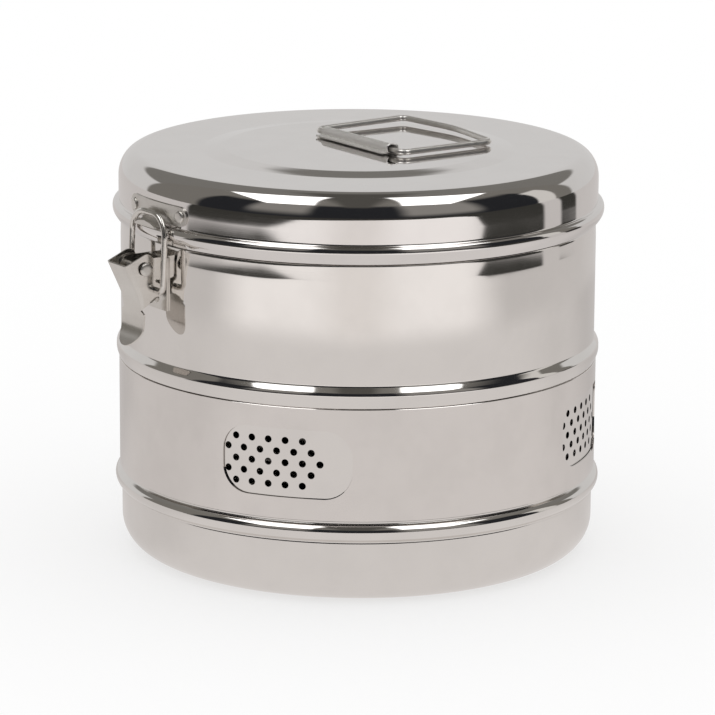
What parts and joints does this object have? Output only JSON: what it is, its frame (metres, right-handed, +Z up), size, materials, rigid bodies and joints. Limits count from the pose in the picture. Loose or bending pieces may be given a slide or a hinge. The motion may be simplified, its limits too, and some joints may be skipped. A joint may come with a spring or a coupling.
{
  "type": "sterilizing drum",
  "caption": "Round stainless sterilizing drum with a sliding vent band, lift-off lid, folding wire handle and over-centre wire latches.",
  "frame": {"origin": "middle of the bottom, on the surface it stands on", "axes": "+Z up along the drum axis; the two latches lie on +X and -X, and the hinge strap of the handle lies along Y"},
  "size_m": [0.334, 0.2892, 0.2454],
  "materials": {
    "pot_steel": "mirror-polished stainless sheet",
    "band_steel": "polished stainless sheet with fine turning marks",
    "lid_steel": "mirror-polished stainless sheet",
    "latch_steel": "polished stainless strip",
    "wire_steel": "polished stainless wire",
    "rivet_steel": "polished stainless rivets"
  },
  "bodies": {
    "drum": {"drum_body": "pot_steel", "left_latch_bracket": "latch_steel", "left_bracket_rivets": "rivet_steel", "left_lever_pivot": "rivet_steel", "right_latch_bracket": "latch_steel", "right_bracket_rivets": "rivet_steel", "right_lever_pivot": "rivet_steel"},
    "band": {"vent_band": "band_steel", "band_seam_rivets": "rivet_steel"},
    "lid": {"lid": "lid_steel", "handle_strap": "latch_steel", "left_lid_catch": "latch_steel", "left_catch_rivets": "rivet_steel", "right_lid_catch": "latch_steel", "right_catch_rivets": "rivet_steel"},
    "bail": {"handle_bail": "wire_steel"},
    "left_lever": {"left_latch_lever": "latch_steel"},
    "right_lever": {"right_latch_lever": "latch_steel"},
    "left_wire": {"left_wire_loop": "wire_steel"},
    "right_wire": {"right_wire_loop": "wire_steel"}
  },
  "joints": [
    {"name": "lid_lift", "type": "slide", "parent": "drum", "child": "lid", "axis": [0, 0, 1], "range_m": [0, 0.036]},
    {"name": "band_turn", "type": "hinge", "parent": "drum", "child": "band", "pos_m": [0, 0, 0.0829], "axis": [0, 0, 1], "continuous": true},
    {"name": "bail_fold", "type": "hinge", "parent": "lid", "child": "bail", "pos_m": [0, 0, 0.2427], "axis": [0, -1, 0], "range_deg": [0, 180]},
    {"name": "left_lever_swing", "type": "hinge", "parent": "drum", "child": "left_lever", "pos_m": [-0.1546, 0, 0.186], "axis": [0, 1, 0], "range_deg": [0, 110]},
    {"name": "right_lever_swing", "type": "hinge", "parent": "drum", "child": "right_lever", "pos_m": [0.1546, 0, 0.186], "axis": [0, -1, 0], "range_deg": [0, 110]},
    {"name": "left_wire_swing", "type": "hinge", "parent": "left_lever", "child": "left_wire", "pos_m": [-0.1488, 0, 0.173], "axis": [0, -1, 0], "range_deg": [0, 275]},
    {"name": "right_wire_swing", "type": "hinge", "parent": "right_lever", "child": "right_wire", "pos_m": [0.1488, 0, 0.173], "axis": [0, 1, 0], "range_deg": [0, 275]}
  ],
  "couplings": [
    {"joint": "left_lever_swing", "follows": "lid_lift", "rad_per_m": 53.329},
    {"joint": "right_lever_swing", "follows": "lid_lift", "rad_per_m": 53.329},
    {"joint": "left_wire_swing", "follows": "lid_lift", "rad_per_m": 133.32},
    {"joint": "right_wire_swing", "follows": "lid_lift", "rad_per_m": 133.32}
  ]
}
